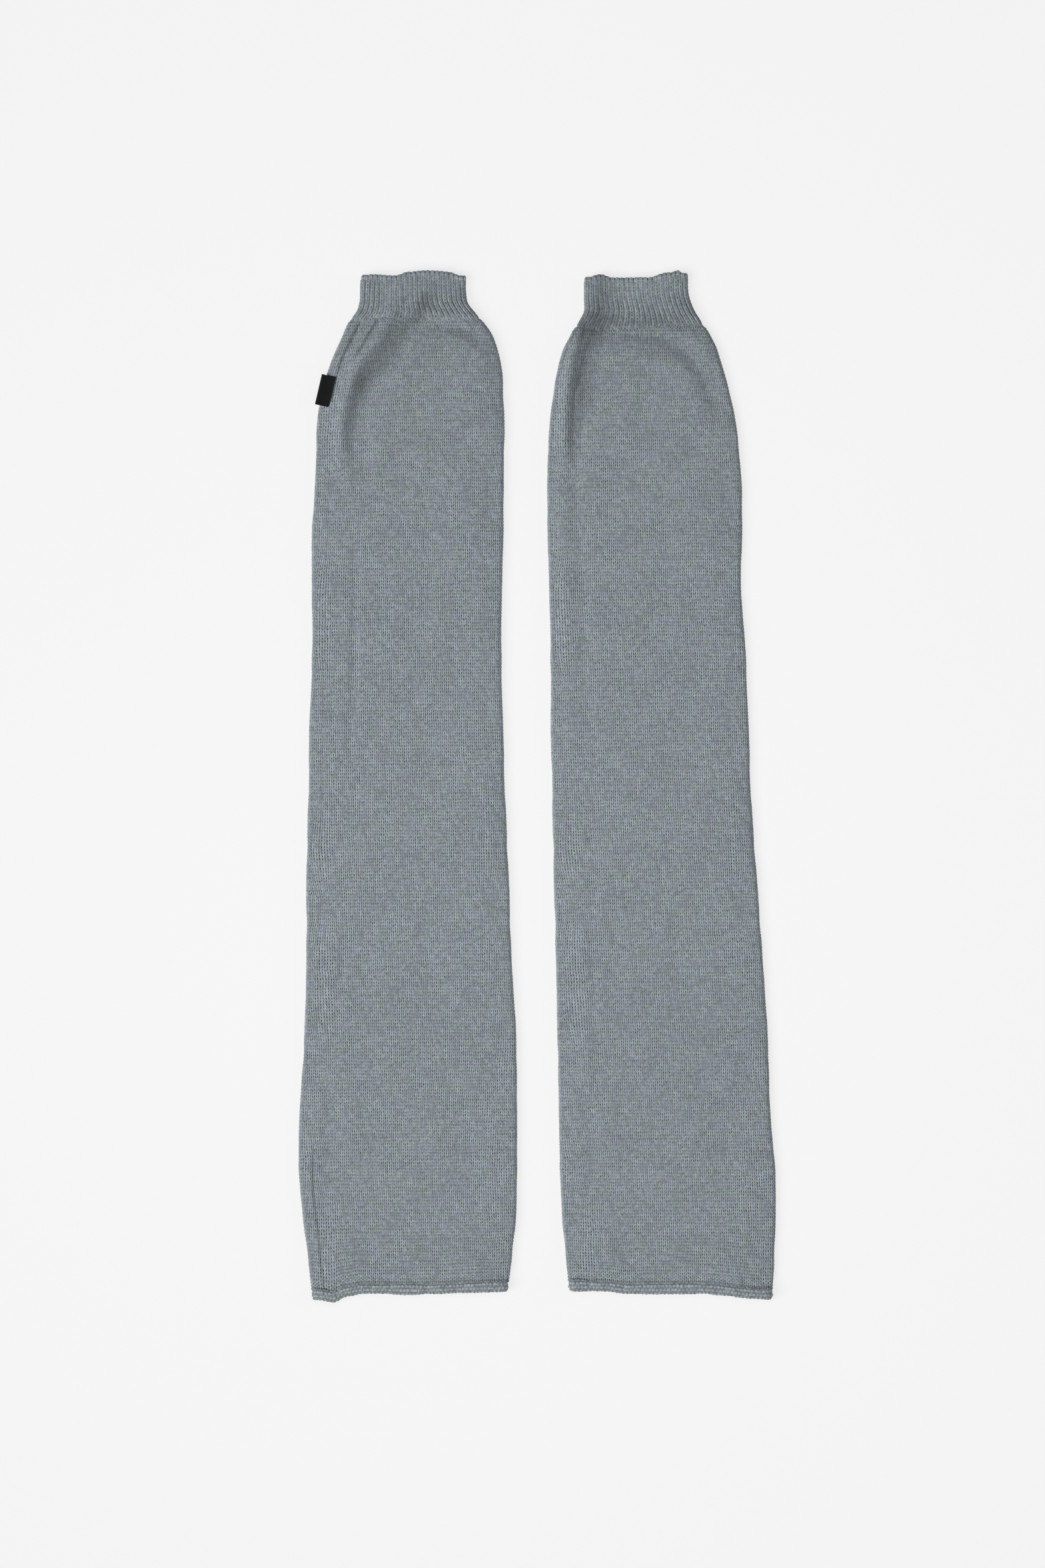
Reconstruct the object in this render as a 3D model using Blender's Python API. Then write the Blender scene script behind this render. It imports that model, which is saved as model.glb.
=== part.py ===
"""A pair of knitted leg warmers, laid flat side by side.

Each one is a knitted tube: a plain leg, a narrow ribbed cuff at its top, and a plain edge that
curls outwards into a roll at its foot. The left one has a woven tab in its side seam.

+X runs across the pair, +Y towards the cuffs and +Z up from the surface that the pair lies on.
Sizes are in millimetres until each mesh is made, and the scene is in metres.
"""

from collections import namedtuple

import bmesh
import bpy
import numpy as np

MILLIMETRE = 0.001

# Cloth
LEG_WALL = 2.2
CUFF_WALL = 2.6
ROLL_THICKNESS = 3.9
ROLL_WIDTH = 4.7
LAYER_SPACE = 0.6
SEAM_GAP = 0.3
CROWN_FLATNESS = 6
FOLD_CLEARANCE = 0.3
FOLD_END_SHARE = 0.25

# Ribs of the cuff
RIBS_ON_TOP = 20
RIBS_ON_SIDE = 3
STEPS_PER_RIB = 3
RIB_HEIGHT = 0.9
RIB_FADE_TO_FLOOR = 1.5

# Steps round one ring of cloth, and the angle in degrees from which a point belongs to the front
LEG_TOP_STEPS = 30
SIDE_STEPS = 5
FLOOR_STEPS = 4
FRONT_FROM = 89.0
ROLL_STEPS = 8

# How far the bend of the hem's line and of the cuff's rim reaches into the cloth beside it
HEM_REACH = 45.0
RIM_REACH = 22.0

# Woven tab in the left leg warmer's side seam
TAB_WIDTH = 8.5
TAB_LENGTH = 18.0
TAB_THICKNESS = 0.7
TAB_CENTRE = (-123.4, 229.4)
TAB_TILT = 13.0
TAB_STEPS = 5

Section = namedtuple("Section", "y left right crown")
Line = namedtuple("Line", "across y")
Fold = namedtuple("Fold", "rise width path")
End = namedtuple("End", "y line reach")

# Sections of each leg from its hem to its cuff: the outline, and how far the middle of the front
# stands above the folded sides
LEFT_LEG = (
    Section(-290.0, -131.5, -16.8, 2.2),
    Section(-272.0, -133.8, -14.6, 2.0),
    Section(-252.0, -136.6, -12.6, 1.8),
    Section(-225.0, -138.9, -12.0, 1.8),
    Section(-194.0, -138.7, -12.0, 1.8),
    Section(-148.0, -135.8, -12.4, 1.8),
    Section(-101.0, -134.6, -15.1, 1.8),
    Section(-55.0, -134.6, -16.7, 1.8),
    Section(-8.0, -133.5, -18.8, 1.8),
    Section(38.0, -132.7, -20.2, 1.8),
    Section(85.0, -131.2, -21.0, 1.8),
    Section(116.0, -131.5, -20.6, 1.8),
    Section(147.0, -131.3, -19.9, 1.9),
    Section(178.0, -129.6, -19.6, 2.2),
    Section(195.0, -129.0, -19.4, 2.5),
    Section(209.0, -128.4, -19.3, 2.8),
    Section(224.5, -126.4, -19.7, 3.2),
    Section(240.0, -122.6, -20.4, 3.4),
    Section(248.0, -119.6, -21.9, 3.3),
    Section(255.5, -116.4, -23.8, 3.0),
    Section(262.5, -113.3, -26.5, 2.5),
    Section(267.5, -111.2, -29.9, 2.0),
    Section(271.5, -108.9, -33.2, 1.8),
)
RIGHT_LEG = (
    Section(-290.0, 17.8, 136.6, 2.2),
    Section(-272.0, 16.0, 137.8, 2.0),
    Section(-252.0, 14.2, 138.5, 1.8),
    Section(-225.0, 13.0, 138.3, 1.8),
    Section(-194.0, 12.4, 135.6, 1.8),
    Section(-148.0, 11.6, 134.0, 1.8),
    Section(-101.0, 10.6, 131.0, 1.8),
    Section(-55.0, 9.4, 127.7, 1.8),
    Section(-8.0, 8.5, 124.3, 1.8),
    Section(38.0, 7.6, 122.6, 1.8),
    Section(85.0, 7.3, 120.7, 1.8),
    Section(116.0, 6.6, 118.4, 1.8),
    Section(147.0, 5.8, 119.0, 1.9),
    Section(178.0, 5.4, 118.7, 2.2),
    Section(195.0, 5.9, 117.3, 2.5),
    Section(209.0, 7.0, 115.6, 2.9),
    Section(224.5, 8.5, 112.9, 3.3),
    Section(238.0, 10.6, 109.4, 3.4),
    Section(248.0, 13.0, 106.2, 3.1),
    Section(255.5, 15.6, 103.8, 2.6),
    Section(260.5, 18.2, 101.3, 2.1),
    Section(265.5, 20.8, 98.4, 1.8),
)
LEFT_CUFF = (
    Section(271.5, -108.6, -33.4, 1.5),
    Section(275.5, -105.2, -37.0, 1.3),
    Section(280.0, -103.7, -40.4, 1.1),
    Section(288.0, -103.2, -41.8, 1.0),
    Section(297.5, -102.8, -41.6, 1.0),
)
RIGHT_CUFF = (
    Section(265.5, 21.2, 98.1, 1.5),
    Section(270.5, 24.6, 94.6, 1.3),
    Section(275.0, 27.0, 91.6, 1.1),
    Section(283.0, 27.0, 88.2, 1.0),
    Section(296.0, 27.0, 87.3, 1.0),
)

# Height of each end's line along the cloth, from the left side (0) to the right side (1)
LEFT_HEM_LINE = (Line(0, -297.0), Line(0.08, -298.2), Line(0.16, -295.0), Line(0.24, -293.5),
                 Line(0.55, -293.7), Line(1, -292.3))
RIGHT_HEM_LINE = (Line(0, -291.7), Line(0.16, -292.2), Line(0.28, -293.5), Line(0.65, -293.3),
                  Line(1, -296.6))
LEFT_RIM_LINE = (Line(0, 297.0), Line(0.3, 296.4), Line(0.45, 298.6), Line(0.65, 299.4),
                 Line(0.88, 298.6), Line(1, 296.4))
RIGHT_RIM_LINE = (Line(0, 295.8), Line(0.12, 296.9), Line(0.25, 295.2), Line(0.62, 295.3),
                  Line(0.85, 298.2), Line(0.95, 299.6), Line(1, 297.8))

# Soft ridges (rise above 0) and troughs (below 0) in the front, each along a path of (x, y)
LEFT_FOLDS = (
    Fold(3.6, 4.4, ((-81.5, 289.0), (-88.5, 272.5), (-96.5, 258.5), (-108.0, 245.0),
                    (-114.5, 227.0), (-118.0, 205.0), (-119.0, 185.0))),
    Fold(-2.4, 7.0, ((-66.0, 279.0), (-84.5, 264.5), (-94.5, 247.0), (-104.5, 231.0),
                     (-108.5, 213.0), (-108.5, 185.0))),
    Fold(-1.4, 2.4, ((-102.0, 272.0), (-110.0, 257.0))),
    Fold(1.0, 6.0, ((-92.0, 226.0), (-92.5, 198.0), (-93.0, 165.0))),
    Fold(-0.9, 4.0, ((-107.0, 120.0), (-107.0, 62.0), (-112.0, 25.0))),
    Fold(-1.0, 3.4, ((-107.0, -45.0), (-116.0, -119.0), (-121.0, -175.0), (-124.5, -230.0),
                     (-119.0, -287.0))),
    Fold(-0.9, 4.0, ((-60.0, -207.0), (-92.0, -219.0))),
)
RIGHT_FOLDS = (
    Fold(-2.2, 3.6, ((31.0, 268.0), (24.5, 250.5), (21.3, 231.0), (21.0, 200.0), (22.5, 165.0),
                     (26.0, 118.0), (28.3, 64.0), (31.0, 20.0))),
    Fold(1.2, 5.0, ((24.5, 258.0), (14.5, 225.0), (13.0, 178.0), (15.0, 116.0), (18.0, 54.0),
                    (19.5, -20.0))),
    Fold(-1.8, 7.0, ((34.0, 265.0), (69.0, 263.5), (89.0, 251.0), (99.0, 236.0), (107.0, 205.0))),
    Fold(-0.8, 4.0, ((31.5, 10.0), (32.0, -117.0), (37.0, -205.0))),
)

KNIT_COLOUR = (0.227, 0.258, 0.283, 1.0)
RIB_COLOUR = (0.205, 0.235, 0.258, 1.0)
TAB_COLOUR = (0.012, 0.013, 0.016, 1.0)
CLOTH_ROUGHNESS = 0.92
TAB_ROUGHNESS = 0.7


def clear_scene():
    for thing in list(bpy.data.objects):
        bpy.data.objects.remove(thing)


def make_material(name, colour, roughness):
    material = bpy.data.materials.new(name)
    material.use_nodes = True
    shader = material.node_tree.nodes["Principled BSDF"]
    shader.inputs["Base Color"].default_value = colour
    shader.inputs["Roughness"].default_value = roughness
    shader.inputs["Metallic"].default_value = 0.0
    return material


def smooth_step(value):
    value = np.clip(value, 0.0, 1.0)
    return value * value * (3.0 - 2.0 * value)


def line_height(line, across):
    """The height of an end's line at the places given across the cloth, eased between its points."""
    places = np.array([point.across for point in line])
    heights = np.array([point.y for point in line])
    after = np.clip(np.searchsorted(places, across), 1, len(places) - 1)
    share = (across - places[after - 1]) / (places[after] - places[after - 1])
    return heights[after - 1] + smooth_step(share) * (heights[after] - heights[after - 1])


def column(sections, name):
    """One column of a table of sections, as an array with a row for each section."""
    return np.array([getattr(section, name) for section in sections])[:, None]


def fold_rise(folds, x, y):
    """How far all the folds raise or lower the cloth at each point (x, y)."""
    rise = np.zeros_like(x)
    for fold in folds:
        path = np.array(fold.path)
        starts, ends = path[:-1], path[1:]
        lengths = np.hypot(*(ends - starts).T)
        travelled = np.concatenate(([0.0], np.cumsum(lengths)))
        nearest = np.full_like(x, np.inf)
        place = np.zeros_like(x)
        for start, end, length, before in zip(starts, ends, lengths, travelled):
            along = ((x - start[0]) * (end - start)[0] + (y - start[1]) * (end - start)[1]) / length
            along = np.clip(along, 0.0, length)
            foot = start[:, None, None] + (end - start)[:, None, None] * along / length
            distance = np.hypot(x - foot[0], y - foot[1])
            closer = distance < nearest
            nearest = np.where(closer, distance, nearest)
            place = np.where(closer, (before + along) / travelled[-1], place)
        fade = smooth_step(place / FOLD_END_SHARE) * smooth_step((1.0 - place) / FOLD_END_SHARE)
        rise += fold.rise * np.exp(-((nearest / fold.width) ** 2)) * fade
    return rise


def front_rise(folds, crown, across, x, y):
    """The front's height above the folded sides, kept clear of the back layer."""
    rounded = 1.0 - np.abs(2.0 * across - 1.0) ** CROWN_FLATNESS
    lift = (crown + fold_rise(folds, x, y)) * rounded
    return np.maximum(lift, FOLD_CLEARANCE - LAYER_SPACE)


def ring_steps(top_steps, side_steps, floor_steps):
    """One turn round a flattened tube, from its lower left: the place across and the angle of each point."""
    rising = np.linspace(-90.0, 90.0, side_steps + 1)
    across = np.concatenate((
        np.zeros(side_steps), np.linspace(0.0, 1.0, top_steps + 1), np.ones(side_steps),
        np.linspace(1.0, 0.0, floor_steps + 1)[1:-1]))
    angle = np.concatenate((
        rising[:-1], np.full(top_steps + 1, 90.0), rising[-2::-1], np.full(floor_steps - 1, -90.0)))
    return across, np.radians(angle)


def ring_rows(sections, folds, steps, wall, end, ribs=0.0):
    """The outer and inner points of a tube's wall, a row for each section. One end follows its line."""
    across, angle = steps
    outer_radius = wall + LAYER_SPACE / 2.0
    left = column(sections, "left") + outer_radius
    right = column(sections, "right") - outer_radius
    centre_x = left + (right - left) * across
    y = column(sections, "y") + end_shift(column(sections, "y"), across, end)
    on_front = angle > np.radians(FRONT_FROM)
    rise = front_rise(folds, column(sections, "crown"), across, centre_x, y) * on_front
    outward_x = np.cos(angle) * np.where(across < 0.5, -1.0, 1.0)

    def points(radius):
        return np.stack(
            (centre_x + outward_x * radius, y, outer_radius + np.sin(angle) * radius + rise), axis=-1)

    return points(outer_radius + ribs), points(outer_radius - wall)


def end_shift(y, across, end):
    """How far the cloth near one end is moved along, so that it follows that end's line."""
    fade = smooth_step(1.0 - np.abs(y - end.y) / end.reach)
    return fade * (line_height(end.line, across) - end.y)


def rib_heights(steps):
    """How far each point of the cuff's ring stands out: a valley, then two points of a rib."""
    across, angle = steps
    wave = np.where(np.arange(len(across)) % STEPS_PER_RIB == 0, 0.0, RIB_HEIGHT)
    above_floor = np.clip(1.0 + RIB_FADE_TO_FLOOR * np.sin(angle), 0.0, 1.0)
    return wave * above_floor


def mesh_object(name, points, faces, material):
    """A smooth object from points in millimetres, with its faces turned outwards."""
    mesh = bpy.data.meshes.new(name)
    mesh.from_pydata((points * MILLIMETRE).tolist(), [], faces)
    body = bmesh.new()
    body.from_mesh(mesh)
    bmesh.ops.recalc_face_normals(body, faces=body.faces)
    body.to_mesh(mesh)
    body.free()
    mesh.materials.append(material)
    mesh.shade_smooth()
    made = bpy.data.objects.new(name, mesh)
    bpy.context.scene.collection.objects.link(made)
    return made


def ring_object(name, outer, inner, material):
    """A tube's wall, open at both ends, from its rows of outer and inner points."""
    rows, turn = outer.shape[:2]
    points = np.concatenate((outer.reshape(-1, 3), inner.reshape(-1, 3)))
    inner_start = rows * turn
    faces = []
    for row in range(rows - 1):
        for step in range(turn):
            after = (step + 1) % turn
            for start in (0, inner_start):
                low, high = start + row * turn, start + (row + 1) * turn
                faces.append((low + step, low + after, high + after, high + step))
    for row in (0, rows - 1):
        for step in range(turn):
            after = (step + 1) % turn
            low, high = row * turn, inner_start + row * turn
            faces.append((low + step, low + after, high + after, high + step))
    return mesh_object(name, points, faces, material)


def make_leg(side, sections, folds, hem_line, material):
    edge_line = tuple(Line(point.across, point.y + ROLL_WIDTH / 2.0 + SEAM_GAP) for point in hem_line)
    foot = End(sections[0].y, edge_line, HEM_REACH)
    steps = ring_steps(LEG_TOP_STEPS, SIDE_STEPS, FLOOR_STEPS)
    outer, inner = ring_rows(sections, folds, steps, LEG_WALL, foot)
    return ring_object(side + "_leg", outer, inner, material)


def make_cuff(side, sections, folds, rim_line, material):
    raised = (sections[0]._replace(y=sections[0].y + SEAM_GAP),) + sections[1:]
    rim = End(sections[-1].y, rim_line, RIM_REACH)
    steps = ring_steps(RIBS_ON_TOP * STEPS_PER_RIB, RIBS_ON_SIDE * STEPS_PER_RIB, FLOOR_STEPS)
    outer, inner = ring_rows(raised, folds, steps, CUFF_WALL, rim, rib_heights(steps))
    return ring_object(side + "_cuff", outer, inner, material)


def make_hem(side, edge, hem_line, material):
    """The rolled edge: a flat-sided round bar that follows the tube's foot all the way round."""
    across, angle = ring_steps(LEG_TOP_STEPS, SIDE_STEPS, FLOOR_STEPS)
    outer_radius = ROLL_THICKNESS + LAYER_SPACE / 2.0
    core_radius = outer_radius - ROLL_THICKNESS / 2.0
    left, right = edge.left + outer_radius, edge.right - outer_radius
    outward_x = np.cos(angle) * np.where(across < 0.5, -1.0, 1.0)
    outward = np.stack((outward_x, np.zeros_like(angle), np.sin(angle)), axis=-1)
    core = np.stack((left + (right - left) * across, line_height(hem_line, across),
                     np.full_like(angle, outer_radius)), axis=-1) + outward * core_radius
    turn = np.radians((np.arange(ROLL_STEPS) + 0.5) * 360.0 / ROLL_STEPS)
    flat_radius = 1.0 / np.cos(np.pi / ROLL_STEPS)
    along_y = np.array((0.0, 1.0, 0.0))
    rows = [core + outward * ROLL_THICKNESS / 2.0 * flat_radius * np.sin(step)
            + along_y * ROLL_WIDTH / 2.0 * flat_radius * np.cos(step) for step in turn]
    points = np.stack(rows)
    around = len(across)
    faces = []
    for row in range(ROLL_STEPS):
        for step in range(around):
            low, high = row * around, (row + 1) % ROLL_STEPS * around
            after = (step + 1) % around
            faces.append((low + step, low + after, high + after, high + step))
    return mesh_object(side + "_hem", points.reshape(-1, 3), faces, material)


def make_tab(sections, folds, material):
    """The woven tab: it lies on the front at the left side, and its free half stands past the edge."""
    tilt = np.radians(TAB_TILT)
    wide = np.linspace(-0.5, 0.5, TAB_STEPS)[None, :] * TAB_WIDTH
    long = np.linspace(-0.5, 0.5, TAB_STEPS)[:, None] * TAB_LENGTH
    x = TAB_CENTRE[0] + wide * np.cos(tilt) + long * np.sin(tilt)
    y = TAB_CENTRE[1] - wide * np.sin(tilt) + long * np.cos(tilt)
    outer_radius = LEG_WALL + LAYER_SPACE / 2.0
    rows_y = column(sections, "y")[:, 0]
    left = np.interp(y, rows_y, column(sections, "left")[:, 0]) + outer_radius
    right = np.interp(y, rows_y, column(sections, "right")[:, 0]) - outer_radius
    crown = np.interp(y, rows_y, column(sections, "crown")[:, 0])
    across = np.clip((x - left) / (right - left), 0.0, 1.0)
    rise = np.maximum(front_rise(folds, crown, across, x, y), 0.0)
    under = 2.0 * outer_radius + rise + SEAM_GAP
    grid = np.stack((x, y, under), axis=-1)
    points = np.concatenate((grid.reshape(-1, 3), (grid + (0.0, 0.0, TAB_THICKNESS)).reshape(-1, 3)))
    top = TAB_STEPS * TAB_STEPS
    faces = []
    for row in range(TAB_STEPS - 1):
        for step in range(TAB_STEPS - 1):
            corner = row * TAB_STEPS + step
            for start in (0, top):
                low = start + corner
                faces.append((low, low + 1, low + TAB_STEPS + 1, low + TAB_STEPS))
    last = TAB_STEPS - 1
    border = ([(0, step) for step in range(last)] + [(row, last) for row in range(last)]
              + [(last, step) for step in range(last, 0, -1)] + [(row, 0) for row in range(last, 0, -1)])
    rim = [row * TAB_STEPS + step for row, step in border]
    for here, after in zip(rim, rim[1:] + rim[:1]):
        faces.append((here, after, top + after, top + here))
    return mesh_object("left_label", points, faces, material)


def centre_pair(pieces):
    """Hangs every piece on one empty, moved so that the pair's box is centred on the origin."""
    corners = np.array([vertex.co for piece in pieces for vertex in piece.data.vertices])
    middle = (corners.min(axis=0) + corners.max(axis=0)) / 2.0
    pair = bpy.data.objects.new("pair", None)
    bpy.context.scene.collection.objects.link(pair)
    pair.location = (-middle[0], -middle[1], 0.0)
    for piece in pieces:
        piece.parent = pair


def main():
    clear_scene()
    knit = make_material("plain_knit", KNIT_COLOUR, CLOTH_ROUGHNESS)
    rib = make_material("rib_knit", RIB_COLOUR, CLOTH_ROUGHNESS)
    tape = make_material("woven_tape", TAB_COLOUR, TAB_ROUGHNESS)
    pieces = []
    for side, leg, cuff, folds, hem_line, rim_line in (
            ("left", LEFT_LEG, LEFT_CUFF, LEFT_FOLDS, LEFT_HEM_LINE, LEFT_RIM_LINE),
            ("right", RIGHT_LEG, RIGHT_CUFF, RIGHT_FOLDS, RIGHT_HEM_LINE, RIGHT_RIM_LINE)):
        pieces.append(make_leg(side, leg, folds, hem_line, knit))
        pieces.append(make_cuff(side, cuff, folds, rim_line, rib))
        pieces.append(make_hem(side, leg[0], hem_line, knit))
    pieces.append(make_tab(LEFT_LEG, LEFT_FOLDS, tape))
    centre_pair(pieces)


main()
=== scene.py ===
"""The looks of a pair of knitted leg warmers that lie flat side by side.

Every stitch of the plain knit, every rib of the cuffs and every bump of the rolled hems is modelled on
the cloth's form. Sizes are in millimetres until each mesh is made, and the scene is in metres.
"""

from collections import namedtuple

import bpy
import numpy as np
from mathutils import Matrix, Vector


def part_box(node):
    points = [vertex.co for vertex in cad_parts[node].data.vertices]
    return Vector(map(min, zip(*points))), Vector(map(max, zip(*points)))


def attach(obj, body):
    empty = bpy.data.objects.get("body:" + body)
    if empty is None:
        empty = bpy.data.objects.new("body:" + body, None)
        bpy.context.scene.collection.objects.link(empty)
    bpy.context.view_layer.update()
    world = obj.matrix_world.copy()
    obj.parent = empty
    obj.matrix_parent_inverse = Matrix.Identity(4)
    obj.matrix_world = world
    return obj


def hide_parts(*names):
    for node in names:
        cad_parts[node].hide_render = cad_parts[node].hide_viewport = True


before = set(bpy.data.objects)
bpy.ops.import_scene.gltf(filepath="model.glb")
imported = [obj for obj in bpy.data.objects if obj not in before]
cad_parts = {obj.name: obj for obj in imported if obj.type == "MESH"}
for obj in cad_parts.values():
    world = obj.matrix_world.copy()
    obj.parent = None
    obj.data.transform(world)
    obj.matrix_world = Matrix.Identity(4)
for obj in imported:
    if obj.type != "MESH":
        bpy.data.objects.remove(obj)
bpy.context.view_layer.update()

MILLIMETRE = 0.001

# Cloth, as in the part
LEG_WALL = 2.2
CUFF_WALL = 2.6
ROLL_THICKNESS = 3.9
ROLL_WIDTH = 6.6
LAYER_SPACE = 0.6
CROWN_FLATNESS = 6
FOLD_FLATNESS = 24
FOLD_CLEARANCE = 0.3
FOLD_END_SHARE = 0.25
HEM_REACH = 45
RIM_REACH = 22

# Columns that close a ring underneath: shares of the way between its sides, and the least distance
# from the front's end
BACK_SHARES = np.array((0.25, 0.5, 0.75))
BACK_STARTS_AFTER = 0.5

# Plain knit: a stitch is an arch of two steep strands, and its wale is one stitch wide
WALES_ON_FRONT = 56
COLUMNS_PER_WALE = 4
FRONT_COLUMNS = WALES_ON_FRONT * COLUMNS_PER_WALE
COURSES = 308
ROWS_PER_COURSE = 3
STRAND_SLOPE = 3
STRAND_MIDDLE = 0.25
STITCH_DEPTH = 0.85
STITCH_VARIES = 0.2
EVEN_CREST = 0.8
CREST_AT_LINE = 0.45
SHOULDER_SHARE = 0.5
STRETCHED_COURSES = 2.5
LEANING_WALES = (17, 28)
LEAN_GROWS_OVER = 5
LEAN_ENDS_OVER = 3
HEM_OVERLAP = 1
SIDE_BUMP = 0.2
PIECES_PER_LEG = ("foot", "middle", "top")

# Ribs of the cuff
RIBS_ON_TOP = 20
RIBS_ON_SIDE = 3
RIBS_ROUND = RIBS_ON_TOP + 2 * RIBS_ON_SIDE
COLUMNS_PER_RIB = 8
CUFF_COURSE = 1.87
RIB_SLOPE = 2.2
RIB_HEIGHT = 0.9
RIB_ROUNDNESS = 0.8
RIB_MIDDLE_HEIGHT = 0.35
RIB_STRENGTH = 0.9
RIB_FADE_TO_FLOOR = 1.5
RIB_STITCH_DEPTH = 0.55
RIBS_EMERGE_OVER = 3.5
RIBS_GROW_OVER = 7
RIBS_AT_FOOT = 0.3
RIB_GROOVE_SHARPNESS = 0.7
SECTIONS_UNDER_CUFF = 3
CUFF_SUNK = 1.7
LEG_SUNK = 1.2
# Painted shade around the foot of the ribs, and how far from it the shade reaches
SHADE_BELOW_RIBS = 0.18
SHADE_BELOW_RIBS_REACH = 14
RIM_LUMP = 0.2
RIM_LUMP_SPACING = 3
RIM_COURSES = 1.6
RIM_GROWS_OVER = 1.2
RIM_FLATTENS_RIBS = 0.75
RIM_STEPS = 5
RIBS_END_STEEPNESS = 2
RIBS_END_LATE = 0.6
BACK_RIM_LOWERED = 1.3
LINING_LENGTH = 12
LINING_STEPS = 3
SLANT_EASED_OVER = 2

# Bumps of the rolled hem
BUMP_WIDTH = 2.15
COLUMNS_PER_BUMP = 4
BUMP_ROWS = 8
ROWS_PER_BUMP = 4
BUMP_HEIGHT = 0.8
BUMP_MIDDLE_HEIGHT = 0.7
BUMP_STEEPNESS = 0.8
BUMP_SHIFT = 0.2
BUMP_HEIGHT_VARIES = 0.16
BUMPS_UNDER_ROLL = 1.3
FIRST_BUMP_AT = 57.5
HEM_SHADE = 0.75
HEM_SHADE_REACH = 4.5

# Woven tab in the left leg warmer's side seam
TAB_WIDTH = 8.5
TAB_LENGTH = 18
TAB_THICKNESS = 0.7
TAB_CENTRE = (-123.4, 229.4)
TAB_TILT = 13
TAB_LIFT = 0.3
TAB_COLUMNS = 40
TAB_ROWS = 36
TAB_TUCK = 1.8
TUCK_STARTS_AT = 0.97
TUCK_EASED_OVER = 0.12
FOOT_TUCKED_MORE = 0.13
FOOT_SHARE = 0.27
THREAD_PITCH = 0.3
SELVEDGE = 0.7
SELVEDGE_EASED_OVER = 0.1

# Camera frame, and how far it sees in metres
VIEW_CENTRE = (-8.5, 1.2)
VIEW_HEIGHT = 912.6
LENS = 200
SENSOR = 36
FARTHEST_SEEN = 100

# Floor, in metres
FLOOR_SIZE = 60
FLOOR_LOWERED = 0.0002
FLOOR_GLOW = 0.745
FLOOR_COLOUR = (0.14, 0.14, 0.14, 1)
FLOOR_ROUGHNESS = 0.9
WHITE = (1, 1, 1, 1)

# Light
KEY_FROM = (-0.9, -0.35, 1)
KEY_POWER = 2.5
FILL_FROM = (1, 0.1, 0.45)
FILL_POWER = 0.6
SUN_SPREAD = 40
SOFTBOX_AT = (-110, -90, 820)
SOFTBOX_SIZE = 500
SOFTBOX_POWER = 2.65
SKY_STRENGTH = 0.155

Section = namedtuple("Section", "y left right crown")
Line = namedtuple("Line", "across y")
Fold = namedtuple("Fold", "rise width path")
End = namedtuple("End", "y line reach")
Pitch = namedtuple("Pitch", "y wale")
Patch = namedtuple("Patch", "x y wide long share")
Unevenness = namedtuple("Unevenness", "seed patch reach")
Ramp = namedtuple("Ramp", "low high low_value high_value")
Wool = namedtuple("Wool", "name holes_at_wale hole_depth line_tone brightness")
Warmer = namedtuple("Warmer", "side leg cuff folds creases hem_line rim_line rib_foot quiet_ribs")
CuffRows = namedtuple("CuffRows", "strand y depth slant near_rim")
CuffColumns = namedtuple("CuffColumns", "beside lump ribbed")
Yarn = namedtuple("Yarn", "wale strand from_line from_valley")
Cloth = namedtuple("Cloth", "around y centre outward above_foot")


def rows_of(kind, *rows):
    return tuple(kind(*row) for row in rows)


# Sections of each leg from its hem to its cuff: its height, its left and right side, and how far the
# middle of the front stands above the folded sides
LEFT_LEG = rows_of(
    Section,
    (-290, -131.5, -16.8, 2.2), (-272, -133.8, -14.6, 2),
    (-252, -136.6, -12.6, 1.8), (-225, -138.9, -12, 1.8),
    (-194, -138.7, -12, 1.8), (-148, -135.8, -12.4, 1.8),
    (-101, -134.6, -15.1, 1.8), (-55, -134.6, -16.7, 1.8),
    (-8, -133.5, -18.8, 1.8), (38, -132.7, -20.2, 1.8),
    (85, -131.2, -21, 1.8), (116, -131.5, -20.6, 1.8),
    (147, -131.3, -19.9, 1.9), (178, -129.6, -19.6, 2.2),
    (195, -129, -19.4, 2.5), (209, -128.4, -19.3, 2.8),
    (224.5, -126.4, -19.7, 3.2), (240, -122.6, -20.4, 3.4),
    (248, -119.6, -21.9, 3.3), (255.5, -116.4, -23.8, 3),
    (262.5, -113.3, -26.5, 2.5), (267.5, -111.2, -29.9, 2),
    (271.5, -108.9, -33.2, 1.8),
)
RIGHT_LEG = rows_of(
    Section,
    (-290, 17.8, 136.6, 2.2), (-272, 16, 137.8, 2),
    (-252, 14.2, 138.5, 1.8), (-225, 13, 138.3, 1.8),
    (-194, 12.4, 135.6, 1.8), (-148, 11.6, 134, 1.8),
    (-101, 10.6, 131, 1.8), (-55, 9.4, 127.7, 1.8),
    (-8, 8.5, 124.3, 1.8), (38, 7.6, 122.6, 1.8),
    (85, 7.3, 120.7, 1.8), (116, 6.6, 118.4, 1.8),
    (147, 5.8, 119, 1.9), (178, 5.4, 118.7, 2.2),
    (195, 5.9, 117.3, 2.5), (209, 7, 115.6, 2.9),
    (224.5, 8.5, 112.9, 3.3), (238, 10.6, 109.4, 3.4),
    (248, 13, 106.2, 3.1), (255.5, 15.6, 103.8, 2.6),
    (260.5, 18.2, 101.3, 2.1), (265.5, 20.8, 98.4, 1.8),
)
LEFT_CUFF = rows_of(
    Section,
    (271.5, -108.6, -33.4, 1.5), (275.5, -105.2, -37, 1.3),
    (280, -103.7, -40.4, 1.1), (288, -103.2, -41.8, 1),
    (297.5, -102.8, -41.6, 1),
)
RIGHT_CUFF = rows_of(
    Section,
    (265.5, 21.2, 98.1, 1.5), (270.5, 24.6, 94.6, 1.3),
    (275, 27, 91.6, 1.1), (283, 27, 88.2, 1),
    (296, 27, 87.3, 1),
)

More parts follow.
